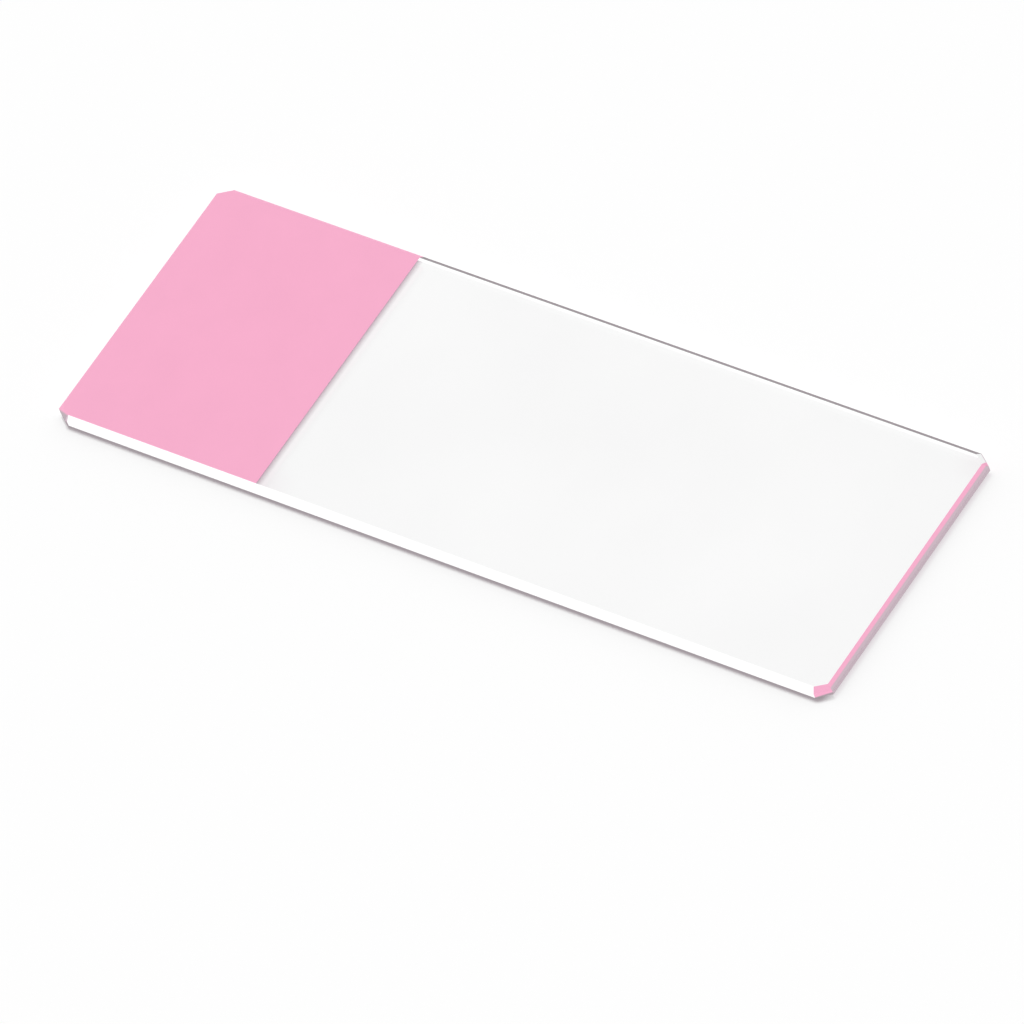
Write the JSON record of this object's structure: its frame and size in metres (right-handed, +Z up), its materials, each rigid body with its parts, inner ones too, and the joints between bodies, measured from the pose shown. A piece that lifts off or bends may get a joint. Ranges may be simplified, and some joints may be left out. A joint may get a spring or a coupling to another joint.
{
  "type": "microscope slide",
  "caption": "Flat glass microscope slide with clipped corners, ground edges and a coloured marking area at one end of its top face.",
  "frame": {"origin": "middle of the glass plate's underside, where it rests", "axes": "+X along the slide, away from the coated end; +Y across it; +Z up out of the coated face"},
  "size_m": [0.075, 0.025, 0.0012],
  "materials": {
    "clear_glass": "polished faces, fine ground edges",
    "pink_coat": "matte printed coat that takes pencil and ink"
  },
  "bodies": {
    "root": {"glass_plate": "clear_glass", "marking_coat": "pink_coat"}
  },
  "joints": []
}
